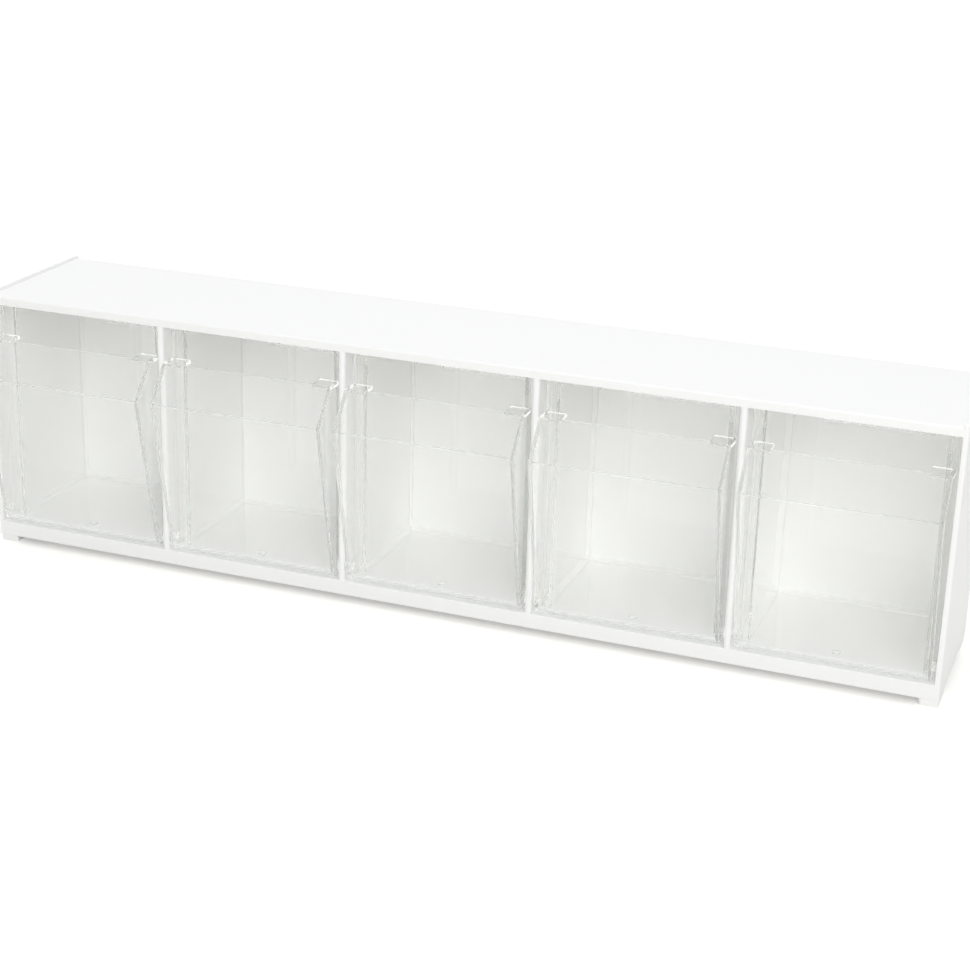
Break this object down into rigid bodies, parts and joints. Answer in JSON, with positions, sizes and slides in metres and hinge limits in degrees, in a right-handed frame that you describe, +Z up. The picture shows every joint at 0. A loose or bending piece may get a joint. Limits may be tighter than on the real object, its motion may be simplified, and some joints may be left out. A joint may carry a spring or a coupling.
{
  "type": "tip-out bin cabinet",
  "caption": "Low wide cabinet with a row of clear wedge-fronted bins that tip forward on hinge pins, for craft stamps and other small parts.",
  "frame": {"origin": "on the standing surface, under the middle of the overall box", "axes": "+X to the right along the front, +Y from the bins to the back, +Z up"},
  "size_m": [0.6, 0.1261, 0.1651],
  "materials": {
    "housing_white": "satin moulded white polystyrene",
    "clear_bin": "clear polished polystyrene"
  },
  "bodies": {
    "housing": {"top_panel": "housing_white", "bottom_panel": "housing_white", "back_panel": "housing_white", "left_end_panel": "housing_white", "right_end_panel": "housing_white", "divider_1": "housing_white", "divider_2": "housing_white", "divider_3": "housing_white", "divider_4": "housing_white"},
    "tilting_bin_1": {"bin_1": "clear_bin"},
    "tilting_bin_2": {"bin_2": "clear_bin"},
    "tilting_bin_3": {"bin_3": "clear_bin"},
    "tilting_bin_4": {"bin_4": "clear_bin"},
    "tilting_bin_5": {"bin_5": "clear_bin"}
  },
  "joints": [
    {"name": "bin_1_tilt", "type": "hinge", "parent": "housing", "child": "tilting_bin_1", "pos_m": [-0.23928, -0.03493, 0.0221], "axis": [1, 0, 0], "range_deg": [0, 37.7]},
    {"name": "bin_2_tilt", "type": "hinge", "parent": "housing", "child": "tilting_bin_2", "pos_m": [-0.11964, -0.03493, 0.0221], "axis": [1, 0, 0], "range_deg": [0, 37.7]},
    {"name": "bin_3_tilt", "type": "hinge", "parent": "housing", "child": "tilting_bin_3", "pos_m": [0, -0.03493, 0.0221], "axis": [1, 0, 0], "range_deg": [0, 37.7]},
    {"name": "bin_4_tilt", "type": "hinge", "parent": "housing", "child": "tilting_bin_4", "pos_m": [0.11964, -0.03493, 0.0221], "axis": [1, 0, 0], "range_deg": [0, 37.7]},
    {"name": "bin_5_tilt", "type": "hinge", "parent": "housing", "child": "tilting_bin_5", "pos_m": [0.23928, -0.03493, 0.0221], "axis": [1, 0, 0], "range_deg": [0, 37.7]}
  ]
}
